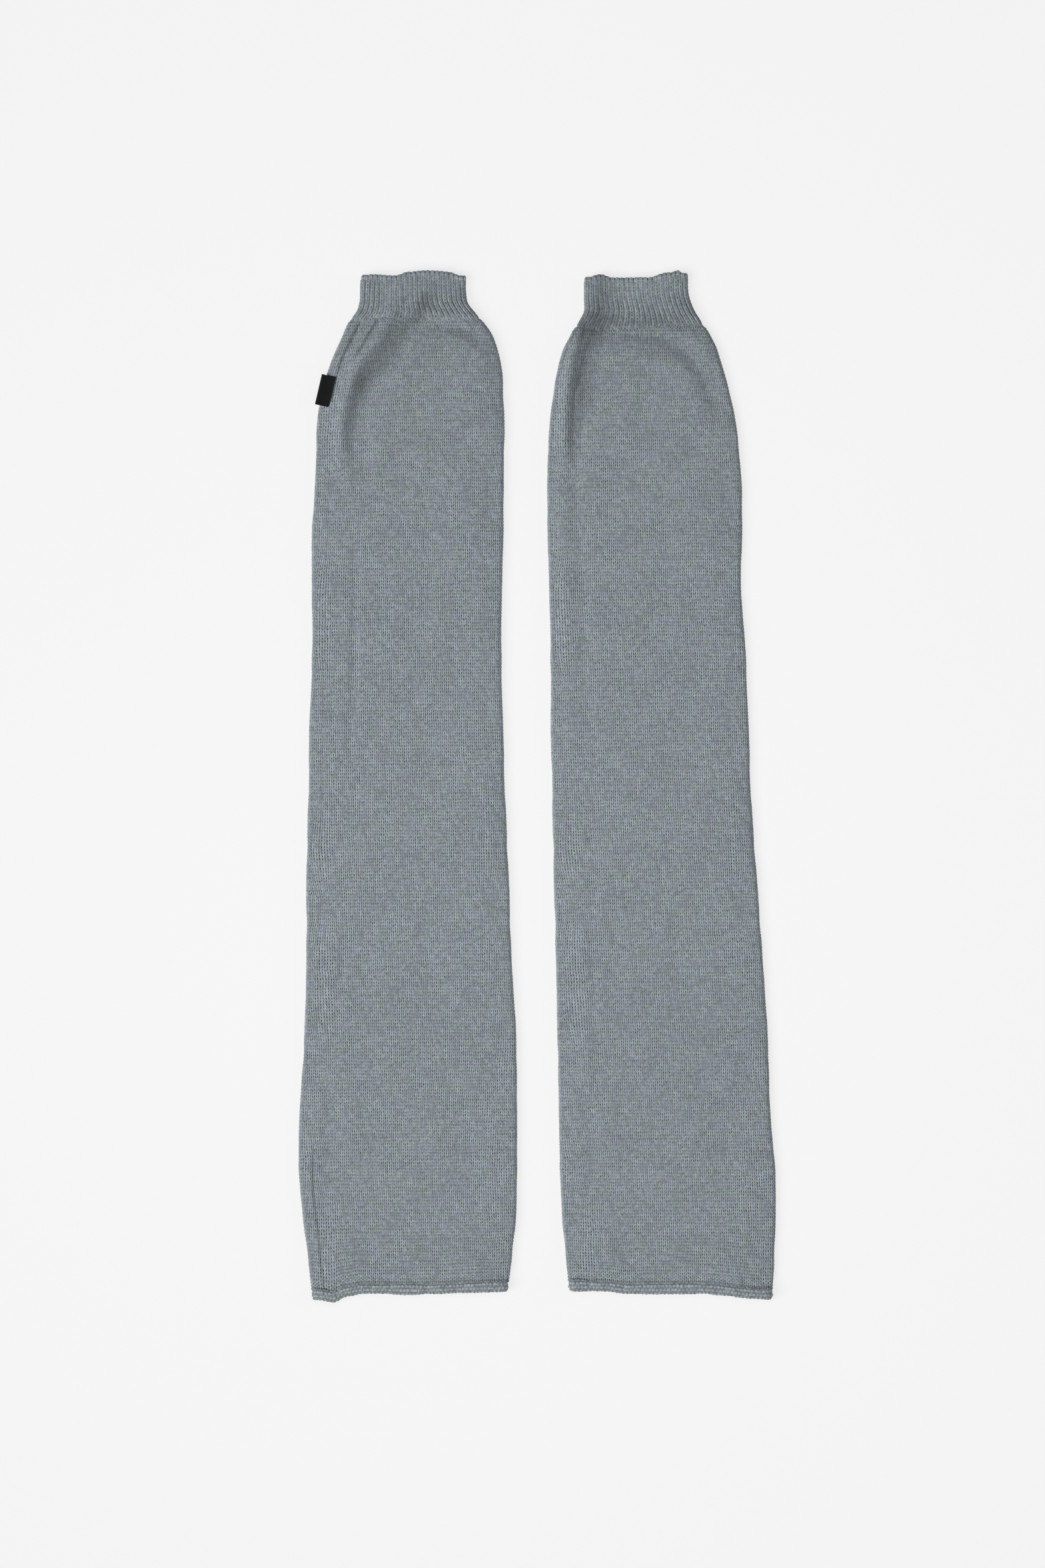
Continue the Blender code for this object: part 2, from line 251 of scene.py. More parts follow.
# Height of each end's line along the cloth, from the left side (0) to the right side (1)
LEFT_HEM_LINE = rows_of(Line, (0, -296.1), (0.08, -297.3), (0.16, -294.1), (0.24, -292.6),
                        (0.55, -292.8), (1, -291.4))
RIGHT_HEM_LINE = rows_of(Line, (0, -290.8), (0.16, -291.3), (0.28, -292.6), (0.65, -292.4),
                         (1, -295.7))
LEFT_RIM_LINE = rows_of(Line, (0, 297), (0.3, 296.4), (0.45, 298.6), (0.65, 299.4), (0.88, 298.6),
                        (1, 296.4))
RIGHT_RIM_LINE = rows_of(Line, (0, 295.8), (0.12, 296.9), (0.25, 295.2), (0.62, 295.3),
                         (0.85, 298.2), (0.95, 299.6), (1, 297.8))

# Height of the line on which each cuff's ribs run out into the plain knit, as above
LEFT_RIB_FOOT = rows_of(Line, (0, 268.5), (0.3, 270), (0.5, 270.3), (0.8, 268.5), (1, 269.5))
RIGHT_RIB_FOOT = rows_of(Line, (0, 265.5), (0.15, 263.5), (0.3, 263), (0.5, 264.5), (1, 266))

# Places in the cuffs where the ribs are flattened: middle, half width, half length and how far
LEFT_QUIET_RIBS = (Patch(-84, 287, 6.5, 13, 0.85), Patch(-56, 291, 27, 8, 0.5))
RIGHT_QUIET_RIBS = (Patch(57, 289, 24, 8.5, 0.9),)

# Soft ridges (rise above 0) and troughs (below 0) in the front, each along a path of (x, y)
LEFT_FOLDS = (
    Fold(5.2, 4.2, ((-79.5, 292), (-84.5, 274), (-93, 259.5), (-104.5, 245), (-111, 227), (-114.5, 205),
                    (-116, 180))),
    Fold(-4, 7, ((-62, 281), (-78.5, 265.5), (-89.5, 248), (-99, 232), (-103.5, 211), (-104.5, 170))),
    Fold(-2, 4.5, ((-84, 268), (-58, 268), (-38, 263), (-27, 250))),
    Fold(-1.4, 2.4, ((-102, 272), (-110, 257))),
    Fold(1, 6, ((-92, 226), (-92.5, 198), (-93, 165))),
    Fold(-1.6, 3.2, ((-106, 150), (-106.5, 62), (-111, 0))),
    Fold(1.2, 2.4, ((-131, 44), (-121.5, 56), (-111, 64))),
    Fold(-1.2, 2.8, ((-126, 36), (-114, 49), (-107, 64))),
    Fold(-1, 3.4, ((-107, -45), (-116, -119), (-121, -175), (-124.5, -230), (-119, -287))),
    Fold(-0.9, 4, ((-60, -207), (-92, -219))),
)
RIGHT_FOLDS = (
    Fold(-3.8, 4.2, ((33, 296), (33, 279), (31.5, 266), (26.5, 250.5), (24, 231), (23, 205),
                     (24, 180))),
    Fold(3.2, 4, ((26, 282), (23.5, 263), (18.5, 246), (15.5, 226), (14.5, 180))),
    Fold(-1.3, 4.4, ((22.5, 235), (22.5, 165), (26, 118), (28.3, 64), (31, 10))),
    Fold(1, 5, ((14.5, 230), (13, 178), (15, 116), (18, 54), (19.5, -20))),
    Fold(-3.2, 6, ((20, 260), (50, 265.5), (72, 264), (89, 251), (99, 236), (107, 205))),
    Fold(1, 6, ((30, 248), (55, 251), (78, 246), (92, 232))),
    Fold(-0.8, 4, ((31.5, 10), (32, -117), (37, -205))),
)

# Creases of the looks alone, which lower the cloth a little and are darkened with painted shade: broad
# soft ones, narrow ones between two wales, and on the left the side seam's line
LEFT_CREASES = (
    Fold(-0.6, 6, ((-52, 301), (-68.7, 275), (-76, 267.3), (-81.9, 259.6), (-86.5, 251.8),
                   (-93.1, 244.1), (-101, 236.3), (-104.4, 224.7), (-109, 209))),
    Fold(-0.8, 1.1, ((-101, 275), (-106, 264.5), (-113.5, 249), (-118.5, 233))),
    Fold(-0.8, 1.1, ((-90.5, 275), (-96.5, 265), (-103.5, 253), (-108.5, 246))),
    Fold(-0.28, 0.9, ((-117, 240), (-120.5, 190), (-124, 100), (-125.5, 0), (-127, -100),
                      (-129.5, -190), (-131, -250))),
    Fold(-0.6, 1, ((-131.5, -190), (-130.6, -237), (-128.2, -255), (-126.2, -276), (-124.5, -290),
                   (-122, -330))),
)
RIGHT_CREASES = (
    Fold(-0.6, 7, ((38, 345), (37, 280), (34.5, 271), (31, 260), (28, 245), (26, 225), (25, 190))),
    Fold(-0.5, 7, ((5, 261), (40, 269), (75, 269), (110, 261))),
    Fold(-0.6, 1, ((36, 280), (34.5, 271.2), (30.3, 259.6), (26.4, 251.8), (25.6, 244.1), (23.7, 236.3),
                   (21.3, 224.7))),
)

WARMERS = (
    Warmer("left", LEFT_LEG, LEFT_CUFF, LEFT_FOLDS, LEFT_CREASES, LEFT_HEM_LINE, LEFT_RIM_LINE,
           LEFT_RIB_FOOT, LEFT_QUIET_RIBS),
    Warmer("right", RIGHT_LEG, RIGHT_CUFF, RIGHT_FOLDS, RIGHT_CREASES, RIGHT_HEM_LINE, RIGHT_RIM_LINE,
           RIGHT_RIB_FOOT, RIGHT_QUIET_RIBS),
)

# Width of one wale along a leg, narrower where the wales run together under the cuff
WALE_PITCH = rows_of(Pitch, (-300, 2.36), (190, 2.35), (240, 2.25), (275, 2))

# The cloth's small unevenness: seed, size of a patch and reach, in millimetres
SIDEWAYS_WANDER = Unevenness(11, 7, 0.28)
LENGTHWISE_WANDER = Unevenness(12, 6, 0.3)
SOFT_SWELL = Unevenness(13, 26, 0.22)
PATCHES_OF_TENSION = Unevenness(14, 9, 0.3)
WAVY_SIDES = Unevenness(15, 11, 0.28)
LEANING_SIDES = Unevenness(19, 30, 2.8)
RIB_FOOT_WANDER = Unevenness(16, 2.9, 1)
RIB_TENSION = Unevenness(17, 6, 0.25)
RIM_WANDER = Unevenness(18, 3.1, 0.45)
ROLL_WANDER = Unevenness(20, 8, 0.4)
NOISE_CELLS = 128
NOISE_ALONG = 400
NOISE_BESIDE = 200
NOISE_ROUND_SIDES = 3
STRAND_SEED = 21
BUMP_HEIGHT_SEED = 22
BUMP_SIDEWAYS_SEED = 23
BUMP_LENGTHWISE_SEED = 24
ROUNDING_SLACK = 0.01
MAP_MARGIN = 0.002

# Wool: its greys, the scales of its patterns, and how each pattern changes the painted shade in the holes
# and the tone. The fuzz is in metres
COOL_GREY = (0.262, 0.296, 0.327, 1)
GREEN_GREY = (0.266, 0.311, 0.308, 1)
VIOLET_GREY = (0.265, 0.287, 0.338, 1)
PATCH_SCALE = 180
VIOLET_SCALE = 140
FLECK_SCALE = 1600
HEATHER_SCALE = 480
HEATHER_STRETCH = (0.55, 1, 1)
FINE_DETAIL = 3
GREEN_PATCHES = Ramp(0.42, 0.7, 0, 1)
VIOLET_PATCHES = Ramp(0.5, 0.75, 0, 1)
HOLE_BESIDE_LINE = Ramp(0.02, 0.17, 1, 0)
HOLE_IN_VALLEY = Ramp(0.05, 0.42, 1, 0)
HOLES_VARY = Ramp(0, 1, 0.35, 1.1)
HOLES_IN_PATCHES = Ramp(0.35, 0.65, 0.75, 1.15)
STRAND_TONES = Ramp(0, 1, 0.85, 1.14)
FLECK_TONES = Ramp(0.3, 0.7, 0.9, 1.1)
# Painted shade in the valleys between the strands and a painted highlight on their crests
VALLEY_SHADE_AND_HIGHLIGHT = Ramp(0, 0.4, 0.9, 1.06)
# Painted shade along each wale's line, how far it reaches, and the tone past it
LINE_SHADE_REACH = 0.12
TONE_PAST_LINE = 1.09
HEATHER_TONES = Ramp(0.3, 0.7, 0.89, 1.11)
# How far the painted shade marked on the mesh darkens the wool
PAINTED_SHADE_TONES = Ramp(0, 1, 1, 0.5)
WOOL_ROUGHNESS = Ramp(0.2, 0.8, 0.86, 0.97)
WOOL_FUZZ = 0.0003
WOOL_SHEEN = 0.25
WOOL_SPECULAR = 0.25
PLAIN_WOOL = Wool("plain_wool", True, 1, 0.68, 0.965)
RIBBED_WOOL = Wool("ribbed_wool", False, 0.78, 0.8, 0.825)
ROLLED_WOOL = Wool("rolled_wool", True, 0, 1, 1.03)

# Woven tape, its relief in metres
LOW_THREAD = (0.003, 0.0032, 0.004, 1)
HIGH_THREAD = (0.008, 0.0085, 0.010, 1)
SELVEDGE_COLOUR = (0.012, 0.0125, 0.015, 1)
LINT_COLOUR = (0.04, 0.042, 0.048, 1)
LINT_SCALE = 2500
LINT_PATCHES = Ramp(0.62, 0.8, 0, 0.2)
THREAD_TONES = Ramp(-0.6, 0.9, 0, 1)
TAPE_ROUGHNESS = Ramp(-1, 1, 0.8, 0.6)
TAPE_RELIEF = 0.00008
TAPE_SHEEN = 0.02
TAPE_SPECULAR = 0.15

RELIEF_STRENGTH = 0.6
SHEEN_ROUGHNESS = 0.5


def smooth_step(value):
    value = np.clip(value, 0, 1)
    return value * value * (3 - 2 * value)


def together(*values):
    """Arrays that fit one another, joined along a new last axis."""
    return np.stack(np.broadcast_arrays(*values), axis=-1)


def soft_noise(unevenness, along, beside):
    """Smooth random values over a plane, from minus to plus the unevenness's reach."""
    grid = np.random.default_rng(unevenness.seed).uniform(-1, 1, (NOISE_CELLS, NOISE_CELLS))
    along, beside = along / unevenness.patch, beside / unevenness.patch
    row, column = np.floor(along).astype(int), np.floor(beside).astype(int)
    row_share, column_share = smooth_step(along - row), smooth_step(beside - column)
    low, high = row % NOISE_CELLS, (row + 1) % NOISE_CELLS
    near, far = column % NOISE_CELLS, (column + 1) % NOISE_CELLS
    first = grid[low, near] + (grid[high, near] - grid[low, near]) * row_share
    second = grid[low, far] + (grid[high, far] - grid[low, far]) * row_share
    return (first + (second - first) * column_share) * unevenness.reach


def cloth_noise(unevenness, y, beside):
    """Smooth random values at places on the cloth."""
    return soft_noise(unevenness, y + NOISE_ALONG, beside + NOISE_BESIDE)


def line_noise(unevenness, beside):
    """Smooth random values along one line across the cloth."""
    return soft_noise(unevenness, np.zeros_like(beside), beside + NOISE_BESIDE)


def add_object(name, data):
    made = bpy.data.objects.new(name, data)
    bpy.context.scene.collection.objects.link(made)
    return made


def smooth_column(table, name, y):
    """One column of a table, at the heights given, on a smooth curve through its rows."""
    heights = np.array([row.y for row in table])
    values = np.array([getattr(row, name) for row in table])
    slopes = np.gradient(values, heights)
    after = np.clip(np.searchsorted(heights, y), 1, len(heights) - 1)
    before = after - 1
    span = heights[after] - heights[before]
    share = np.clip((y - heights[before]) / span, 0, 1)
    eased = smooth_step(share)
    bend = share * (1 - share) * span
    return (values[before] + (values[after] - values[before]) * eased
            + bend * ((1 - share) * slopes[before] - share * slopes[after]))


def line_height(line, across):
    """The height of an end's line at the places given across the cloth, eased between its points."""
    places = np.array([point.across for point in line])
    heights = np.array([point.y for point in line])
    after = np.clip(np.searchsorted(places, across), 1, len(places) - 1)
    share = (across - places[after - 1]) / (places[after] - places[after - 1])
    return heights[after - 1] + smooth_step(share) * (heights[after] - heights[after - 1])


def end_shift(y, across, end):
    """How far the cloth near one end is moved along, so that it follows that end's line."""
    fade = smooth_step(1 - np.abs(y - end.y) / end.reach)
    return fade * (line_height(end.line, across) - end.y)


def fold_rise(folds, x, y):
    """How far all the folds raise or lower the cloth at each point (x, y)."""
    rise = np.zeros_like(x)
    for fold in folds:
        path = np.array(fold.path)
        starts, ends = path[:-1], path[1:]
        lengths = np.hypot(*(ends - starts).T)
        travelled = np.concatenate(([0], np.cumsum(lengths)))
        nearest = np.full_like(x, np.inf)
        place = np.zeros_like(x)
        for start, end, length, before in zip(starts, ends, lengths, travelled):
            along = ((x - start[0]) * (end - start)[0] + (y - start[1]) * (end - start)[1]) / length
            along = np.clip(along, 0, length)
            foot = start[:, None, None] + (end - start)[:, None, None] * along / length
            distance = np.hypot(x - foot[0], y - foot[1])
            closer = distance < nearest
            nearest = np.where(closer, distance, nearest)
            place = np.where(closer, (before + along) / travelled[-1], place)
        fade = smooth_step(place / FOLD_END_SHARE) * smooth_step((1 - place) / FOLD_END_SHARE)
        rise += fold.rise * np.exp(-((nearest / fold.width) ** 2)) * fade
    return rise


def front_rise(folds, crown, across, x, y):
    """The front's height above the folded sides, kept clear of the back layer."""
    from_middle = np.abs(2 * across - 1)
    lift = crown * (1 - from_middle ** CROWN_FLATNESS)
    lift = lift + fold_rise(folds, x, y) * (1 - from_middle ** FOLD_FLATNESS)
    return np.maximum(lift, FOLD_CLEARANCE - LAYER_SPACE)


class FlatTube:
    """A flattened tube of cloth: where its folded sides' centres are, and where a way round it leads."""

    def __init__(self, sections, folds, end, wall):
        self.sections, self.folds, self.end, self.wall = sections, folds, end, wall
        self.radius = wall + LAYER_SPACE / 2

    def half_front(self, y):
        """Half of the flat front's width at the heights given."""
        width = smooth_column(self.sections, "right", y) - smooth_column(self.sections, "left", y)
        return width / 2 - self.radius

    def perimeter(self, y):
        return 4 * self.half_front(y) + 2 * np.pi * self.radius

    def across(self, x, y):
        """The share of the way from the left fold to the right one, from 0 to 1."""
        left = smooth_column(self.sections, "left", y) + self.radius
        right = smooth_column(self.sections, "right", y) - self.radius
        return np.clip((x - left) / (right - left), 0, 1)

    def front_height(self, x, y):
        """Height of the front's outside at each point (x, y), and of its flat sides past the edges."""
        crown = smooth_column(self.sections, "crown", y)
        rise = front_rise(self.folds, crown, self.across(x, y), x, y)
        return 2 * self.radius + np.maximum(rise, 0)

    def place(self, around, y):
        """For a way round in millimetres, 0 in the front's middle and above 0 to the right: the point in
        the cloth from which its thickness is measured, and the direction outwards."""
        perimeter = self.perimeter(y)
        around = (around + perimeter / 2) % perimeter - perimeter / 2
        half = self.half_front(y)
        side, reach = np.sign(around), np.abs(around)
        turn = np.clip((reach - half) / self.radius, 0, np.pi)
        inwards = np.maximum(reach - half - np.pi * self.radius, 0)
        left, right = (smooth_column(self.sections, name, y) for name in ("left", "right"))
        centre_x = (left + right) / 2 + side * (np.minimum(reach, half) - inwards)
        across = self.across(centre_x, y)
        moved_y = y + end_shift(y, across, self.end)
        crown = smooth_column(self.sections, "crown", y)
        rise = np.where(turn > 0, 0, front_rise(self.folds, crown, across, centre_x, moved_y))
        centre = np.stack((centre_x, moved_y, self.radius + rise), axis=-1)
        outward = np.stack((side * np.sin(turn), np.zeros_like(turn), np.cos(turn)), axis=-1)
        return centre, outward


def pair_shift():
    """How far the pair is moved from its tables' places, read from the left leg's box."""
    low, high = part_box("left_leg")
    widest = min(section.left for section in LEFT_LEG)
    return np.array((low.x / MILLIMETRE - widest, high.y / MILLIMETRE - LEFT_LEG[-1].y, 0))


def grid_piece(name, points, maps, material, wrap_rows=False, falling=None):
    """A smooth tube from rows and columns of points in millimetres. Each of maps holds a place for every
    point, and one more column, or row, where the grid wraps round. Quads whose column is falling start
    at another corner, and so are split along their other diagonal."""
    rows, columns = points.shape[:2]
    row, column = np.meshgrid(np.arange(rows if wrap_rows else rows - 1), np.arange(columns),
                              indexing="ij")
    corner_row = np.stack((row, row, row + 1, row + 1), axis=-1).reshape(-1, 4)
    corner_column = np.stack((column, column + 1, column + 1, column), axis=-1).reshape(-1, 4)
    if falling is not None:
        turned = falling[corner_column[:, 0]][:, None]
        corner_row = np.where(turned, np.roll(corner_row, 1, axis=1), corner_row)
        corner_column = np.where(turned, np.roll(corner_column, 1, axis=1), corner_column)
    corners = (corner_row % rows) * columns + corner_column % columns
    mesh = bpy.data.meshes.new(name)
    mesh.vertices.add(rows * columns)
    mesh.loops.add(corners.size)
    mesh.polygons.add(len(corners))
    placed = (points + pair_shift()) * MILLIMETRE
    mesh.vertices.foreach_set("co", placed.astype(np.float32).ravel())
    mesh.loops.foreach_set("vertex_index", corners.ravel().astype(np.int32))
    mesh.polygons.foreach_set("loop_start", np.arange(0, corners.size, 4, dtype=np.int32))
    mesh.update(calc_edges=True)
    for map_name, places in maps.items():
        layer = mesh.uv_layers.new(name=map_name)
        layer.uv.foreach_set("vector", places[corner_row, corner_column].astype(np.float32).ravel())
    mesh.shade_smooth()
    mesh.materials.append(material)
    made = add_object(name, mesh)
    return made


def mark(mesh, name, kind, domain, values):
    mesh.attributes.new(name, kind, domain).data.foreach_set("value", values)


def mark_painted_shade(mesh, depth):
    """Tells the material how much painted shade each point gets, in grooves, creases and other hollows,
    from 0 to 1.
    """
    mark(mesh, "painted_shade", "FLOAT", "POINT", depth.astype(np.float32).ravel())


def mark_strands(mesh, columns, creased, front_columns):
    """Makes the edges along creased columns sharp, so that each strand is shaded by itself, and marks
    the faces underneath, where stitches are drawn and not modelled."""
    ends = np.zeros(len(mesh.edges) * 2, np.int32)
    mesh.edges.foreach_get("vertices", ends)
    ends = ends.reshape(-1, 2) % columns
    mark(mesh, "sharp_edge", "BOOLEAN", "EDGE", (ends[:, 0] == ends[:, 1]) & creased[ends[:, 0]])
    starts = np.arange(len(mesh.polygons)) % columns
    mark(mesh, "underside", "FLOAT", "FACE", (starts >= front_columns).astype(np.float32))


def stitched_piece(name, points, maps, material, front_columns, columns_per_stitch, dark):
    """A piece of knit with each strand shaded by itself. The columns past its front are plain."""
    columns = points.shape[1]
    number = np.arange(columns)
    falling = (number % columns_per_stitch >= columns_per_stitch // 2) & (number < front_columns)
    creased = (number % (columns_per_stitch // 2) == 0) & (number <= front_columns)
    piece = grid_piece(name, points, maps, material, falling=falling)
    mark_strands(piece.data, columns, creased, front_columns)
    mark_painted_shade(piece.data, dark)
    return piece


def bake_map(turn_share, row_share):
    """Places that unroll a tube onto the unit square, a little inside its edges."""
    return MAP_MARGIN + (1 - 2 * MAP_MARGIN) * together(turn_share, row_share)


def unroll(around, perimeter):
    """The ways round of a tube's columns, with the first one once more a whole turn later."""
    return np.concatenate((around, around[:, :1] + perimeter), axis=1)


def with_back(values, back):
    """A grid of values with those of the columns behind it added."""
    return np.concatenate((values, np.broadcast_to(back, (len(values), back.shape[1]))), axis=1)


def laid_cloth(warmer, tube, around, y):
    """A tube's points as they lie, each with its height above the ribs' uneven foot."""
    centre, outward = tube.place(around, y)
    foot = line_height(warmer.rib_foot, tube.across(centre[..., 0], centre[..., 1]))
    above_foot = centre[..., 1] - foot - line_noise(RIB_FOOT_WANDER, centre[..., 0])
    return Cloth(around, y, centre, outward, above_foot)


def crease_shade(warmer, centre):
    """How much painted shade each point gets because it lies in one of the creases, from 0 to 1."""
    return np.clip(-fold_rise(warmer.creases, centre[..., 0], centre[..., 1]), 0, 1)


def strand_crest(strand, evened):
    """Height across the strands: 0 between two, 1 on each, and the same all over where evened is 1."""
    crest = 0.5 - 0.5 * np.cos(2 * np.pi * strand)
    return crest + (EVEN_CREST - crest) * evened


def strand_jitter(seed, wale, strand):
    """A random value for each strand, from -1 to 1, the same over the whole strand."""
    half_wale = np.floor(2 * wale + ROUNDING_SLACK).astype(int) % NOISE_CELLS
    course = np.floor(strand + ROUNDING_SLACK).astype(int)
    values = np.random.default_rng(seed).uniform(-1, 1, (NOISE_CELLS, course.max() + 1))
    return values[half_wale, course]


def front_wales():
    """The wale number at each column of a leg's stitched front, 0 in the middle."""
    return np.arange(FRONT_COLUMNS + 1) / COLUMNS_PER_WALE - WALES_ON_FRONT / 2


def front_places(wale, strand, foot, course_height):
    """Ways round and heights of the stitched front, with slanting strands and the knit's wander."""
    steep = smooth_step(np.minimum(strand, COURSES - strand) / (2 * STRETCHED_COURSES))
    beside = np.abs(wale - np.round(wale))
    y = foot + (strand - STRAND_SLOPE * (beside - STRAND_MIDDLE) * steep) * course_height
    around = wale * smooth_column(WALE_PITCH, "wale", y)
    y = y + cloth_noise(LENGTHWISE_WANDER, y, around) * steep
    around = around + cloth_noise(SIDEWAYS_WANDER, y, around)
    first, last = LEANING_WALES
    leaning = smooth_step((np.abs(wale) - first) / LEAN_GROWS_OVER)
    leaning = leaning * smooth_step((last - np.abs(wale)) / LEAN_ENDS_OVER)
    return around + cloth_noise(LEANING_SIDES, y, around) * leaning, y


def front_relief(wale, strand, around, y):
    """Height of the plain knit from about 0 in its holes to 1 on its strands, uneven in patches and from
    strand to strand. Where the cloth is stretched, at its ends, only the wales' lines are left."""
    stretched = 1 - smooth_step(np.minimum(strand, COURSES - strand) / STRETCHED_COURSES)
    crest = strand_crest(strand, stretched)
    shoulder = np.sin(2 * np.pi * np.abs(wale - np.round(wale)))
    on_strand = CREST_AT_LINE + (1 - CREST_AT_LINE) * shoulder
    relief = crest * on_strand + (1 - crest) * SHOULDER_SHARE * shoulder
    uneven = 1 + cloth_noise(PATCHES_OF_TENSION, y, around)
    uneven = uneven + STITCH_VARIES * strand_jitter(STRAND_SEED, wale, strand)
    return np.minimum(1 - (1 - relief) * uneven, 1)


def underside_ways(tube, last, y):
    """Ways round for the columns that close a leg's ring behind its stitched front, which ends at last."""
    perimeter = tube.perimeter(y)
    side_end = np.maximum(tube.half_front(y) + np.pi * tube.radius, last + BACK_STARTS_AFTER)
    halfway = (last + side_end) / 2
    back = side_end + (perimeter - 2 * side_end) * BACK_SHARES
    return np.concatenate((halfway, side_end, back, perimeter - side_end, perimeter - halfway), axis=1)


def leg_points(tube, strand, relief, cloth):
    """The points of a leg's surface, with its stitches, its wavy sides and its soft swells."""
    outward = cloth.outward
    under_cuff = smooth_step(cloth.above_foot / RIBS_EMERGE_OVER)
    reach = tube.radius - STITCH_DEPTH * (1 - relief) - LEG_SUNK * under_cuff
    waves = soft_noise(WAVY_SIDES, cloth.y + NOISE_ALONG, outward[..., 0] + NOISE_ROUND_SIDES)
    bumps = SIDE_BUMP * np.cos(2 * np.pi * strand)
    reach = reach + np.abs(outward[..., 0]) * (waves - bumps)
    points = cloth.centre + outward * reach[..., None]
    points[..., 2] += cloth_noise(SOFT_SWELL, cloth.y, cloth.around) * np.maximum(outward[..., 2], 0)
    return points


def leg_shade(warmer, cloth, above_hem):
    """How much painted shade each point of a leg gets: in the creases, around the cuff's ribs' foot, and
    at the roll.
    """
    shade_below_ribs = SHADE_BELOW_RIBS * smooth_step(1 + cloth.above_foot / SHADE_BELOW_RIBS_REACH)
    at_roll = HEM_SHADE * np.clip(1 - above_hem / HEM_SHADE_REACH, 0, 1)
    return np.maximum(np.maximum(crease_shade(warmer, cloth.centre), shade_below_ribs), at_roll)


def knit_leg(warmer, material):
    """The plain knit of one leg warmer, in three pieces, each an open tube."""
    foot, top = warmer.leg[0].y, warmer.cuff[1].y
    edge = tuple(Line(point.across, point.y + ROLL_WIDTH / 2 - HEM_OVERLAP)
                 for point in warmer.hem_line)
    tube = FlatTube(warmer.leg + warmer.cuff[1:2], warmer.folds + warmer.creases,
                    End(foot, edge, HEM_REACH), LEG_WALL)
    course_height = (top - foot) / COURSES
    strand = (np.arange(COURSES * ROWS_PER_COURSE + 1) / ROWS_PER_COURSE)[:, None]
    row_y = foot + strand * course_height
    wale = front_wales()
    around, y = front_places(wale, strand, foot, course_height)
    relief = front_relief(wale, strand, around, y)
    behind = underside_ways(tube, around[:, -1:], row_y)
    back_y = np.repeat(row_y, behind.shape[1], axis=1)
    cloth = laid_cloth(warmer, tube, with_back(around, behind), with_back(y, back_y))
    points = leg_points(tube, strand, with_back(relief, np.ones_like(behind)), cloth)
    dark = leg_shade(warmer, cloth, row_y - foot)
    return split_leg(warmer, tube, points, cloth.around, strand, row_y, dark, material)


def split_leg(warmer, tube, points, around, strand, row_y, dark, material):
    """Cuts one leg's grid between courses into its pieces, each with its flat width and length."""
    perimeter = tube.perimeter(row_y)
    unrolled = unroll(around, perimeter)
    turn_share = (unrolled - unrolled[:, :1]) / perimeter
    wale = unrolled / smooth_column(WALE_PITCH, "wale", row_y)
    wale[:, :FRONT_COLUMNS + 1] = front_wales()
    stitch = together(wale, strand)
    cuts = np.linspace(0, COURSES, len(PIECES_PER_LEG) + 1).round().astype(int) * ROWS_PER_COURSE
    made = []
    for part_name, start, end in zip(PIECES_PER_LEG, cuts, cuts[1:]):
        part = slice(start, end + 1)
        row_share = np.linspace(0, 1, end - start + 1)[:, None]
        maps = {"OFBake": bake_map(turn_share[part], row_share), "Stitch": stitch[part]}
        piece = stitched_piece(f"{warmer.side}_knit_{part_name}", points[part], maps, material,
                               FRONT_COLUMNS, COLUMNS_PER_WALE, dark[part])
        first, last = row_y[start, 0], row_y[end, 0]
        made.append((piece, float(tube.perimeter((first + last) / 2)), float(last - first)))
    return made


def rib_ways(tube, rib, y):
    """Ways round for places counted in ribs from the front's middle, on the front and the two sides."""
    half = tube.half_front(y)
    on_front = RIBS_ON_TOP / 2
    beyond = np.maximum(np.abs(rib) - on_front, 0) * np.pi * tube.radius / RIBS_ON_SIDE
    return np.sign(rib) * (np.minimum(np.abs(rib), on_front) * half / on_front + beyond)


def cuff_rows(foot, top, courses):
    """The rows of a cuff: up its outside, over its rim and a little way down its inside."""
    outside = np.arange(courses * ROWS_PER_COURSE + 1) / ROWS_PER_COURSE
    over = np.linspace(0, np.pi, RIM_STEPS + 1)[1:]
    inside = np.linspace(0, LINING_LENGTH, LINING_STEPS + 1)[1:]
    strand = np.concatenate((outside, courses + over / np.pi, courses + 1 + inside / CUFF_COURSE))
    y = np.concatenate((foot + outside * (top - foot) / courses, top + CUFF_WALL / 2 * np.sin(over),
                        top - inside))
    depth = np.concatenate((np.zeros_like(outside), CUFF_WALL / 2 * (1 - np.cos(over)),
                            np.full_like(inside, CUFF_WALL)))
    slant = np.zeros_like(strand)
    slant[:len(outside)] = smooth_step(np.minimum(outside, courses - outside) / SLANT_EASED_OVER)
    near_rim = smooth_step((strand - courses + RIM_COURSES) / RIM_GROWS_OVER)
    return CuffRows(*(column[:, None] for column in (strand, y, depth, slant, near_rim)))


def cuff_ways(tube, rib, y, near_rim):
    """Ways round and heights of a cuff's points, and the whole way round each row."""
    base_y = np.minimum(y, tube.end.y)
    around = rib_ways(tube, rib, base_y)
    side_end = tube.half_front(base_y[:, -1:]) + np.pi * tube.radius
    perimeter = tube.perimeter(base_y[:, -1:])
    behind = around[:, -1:] + (perimeter - 2 * side_end) * BACK_SHARES
    back_y = np.repeat(y[:, -1:] - BACK_RIM_LOWERED * near_rim, len(BACK_SHARES), axis=1)
    return with_back(around, behind), with_back(y, back_y), perimeter


def rib_strength(warmer, x, y):
    """How far the ribs stand out at each point, from about 0 where they are flattened to 1."""
    strength = RIB_STRENGTH + cloth_noise(RIB_TENSION, y, x)
    for patch in warmer.quiet_ribs:
        distance = ((x - patch.x) / patch.wide) ** 2 + ((y - patch.y) / patch.long) ** 2
        strength = strength * (1 - patch.share * np.exp(-distance))
    return np.clip(strength, 0, 1)


